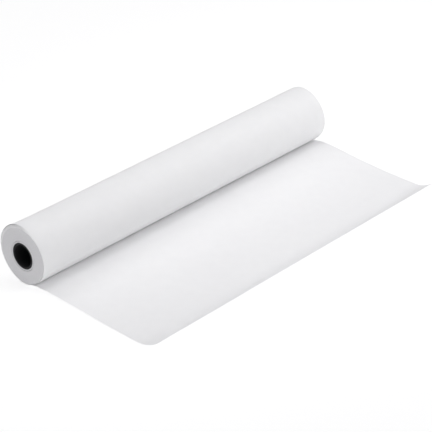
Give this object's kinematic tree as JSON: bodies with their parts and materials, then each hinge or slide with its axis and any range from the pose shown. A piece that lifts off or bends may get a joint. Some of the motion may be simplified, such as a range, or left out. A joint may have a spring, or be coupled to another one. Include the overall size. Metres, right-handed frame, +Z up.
{
  "type": "plotter paper roll",
  "caption": "Part-used roll of plain white wide-format paper on a tube core, its outer turn sprung loose and its free end drawn out flat with a curled lip.",
  "frame": {"origin": "on the surface the sheet lies on, under the middle of the whole object's box", "axes": "+X along the roll, +Y from the free end towards the roll, +Z up"},
  "size_m": [0.914, 0.456, 0.1366],
  "materials": {
    "web_paper": "matte",
    "core_board": "matte",
    "paper_tape": "satin"
  },
  "bodies": {
    "free_sheet": {"laid_sheet": "web_paper", "curled_lip": "web_paper"},
    "loose_wrap": {"outer_turn": "web_paper"},
    "wound_roll": {"core_tube": "core_board", "start_tape": "paper_tape", "inner_turns": "web_paper", "wound_turns": "web_paper"}
  },
  "joints": [
    {"name": "roll_travel", "type": "slide", "parent": "free_sheet", "child": "loose_wrap", "axis": [0, 1, 0], "range_m": [-0.12, 0.4074]},
    {"name": "roll_spin", "type": "hinge", "parent": "loose_wrap", "child": "wound_roll", "pos_m": [0, 0.16295, 0.0659], "axis": [1, 0, 0], "range_deg": [-360, 108]}
  ],
  "couplings": [
    {"joint": "roll_spin", "follows": "roll_travel", "rad_per_m": -15.42}
  ]
}
